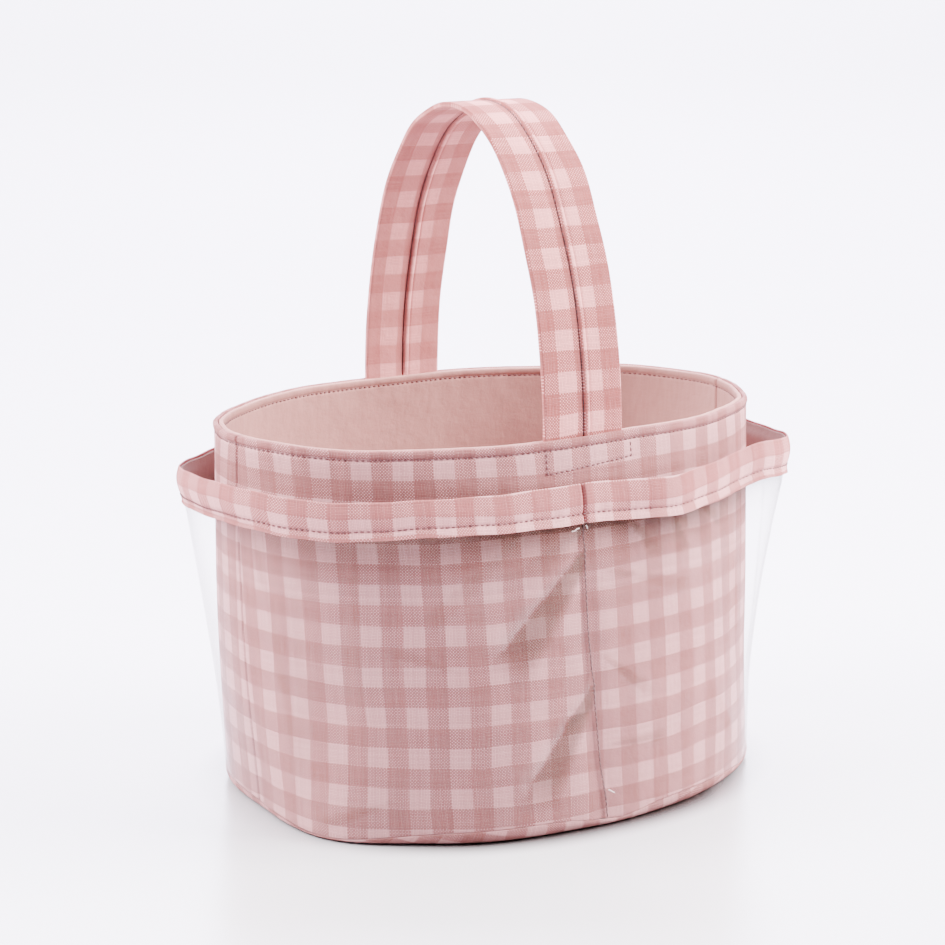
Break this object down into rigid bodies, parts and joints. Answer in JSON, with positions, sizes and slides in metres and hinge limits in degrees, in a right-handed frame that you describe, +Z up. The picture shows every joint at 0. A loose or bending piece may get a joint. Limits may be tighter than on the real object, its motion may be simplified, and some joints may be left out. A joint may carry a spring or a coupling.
{
  "type": "diaper caddy",
  "caption": "Soft oval caddy with padded checked-cloth walls, clear outer pockets with a cloth band, and a flat strap handle arching over the middle.",
  "frame": {"origin": "under the middle of the base, on the surface that the caddy stands on", "axes": "+Z up, +X along the oval's long axis, +Y across it, so that the handle arches from -Y (front) to +Y (back)"},
  "size_m": [0.323, 0.2268, 0.3471],
  "materials": {
    "gingham": "plain-weave cotton, dusty pink and off-white checks of 10 mm",
    "lining": "plain dusty pink cotton",
    "clear_vinyl": "clear flexible vinyl, glossy",
    "foam": "white needle-punched padding",
    "board": "grey-white stiffener board",
    "webbing": "off-white woven stiffening tape"
  },
  "bodies": {
    "root": {"base_panel": "gingham", "base_board": "board", "base_lining": "lining", "wall_padding": "foam", "wall_outer_front": "gingham", "wall_outer_back": "gingham", "wall_lining_front": "lining", "wall_lining_back": "lining", "pocket_sheet_left": "clear_vinyl", "pocket_sheet_right": "clear_vinyl", "pocket_band_left": "gingham", "pocket_band_right": "gingham", "pocket_facing_left": "lining", "pocket_facing_right": "lining", "handle_tail_front": "gingham", "handle_tail_back": "gingham", "handle_bend_front": "gingham", "handle_bend_back": "gingham"},
    "handle": {"handle_cover_left": "gingham", "handle_cover_right": "gingham", "handle_core": "webbing"}
  },
  "joints": [
    {"name": "handle_fold", "type": "hinge", "parent": "root", "child": "handle", "pos_m": [0, 0, 0.214], "axis": [0, 1, 0], "range_deg": [-75, 75], "stiffness_Nm_per_rad": 0.1, "deforming": ["handle_bend_front", "handle_bend_back"]}
  ]
}
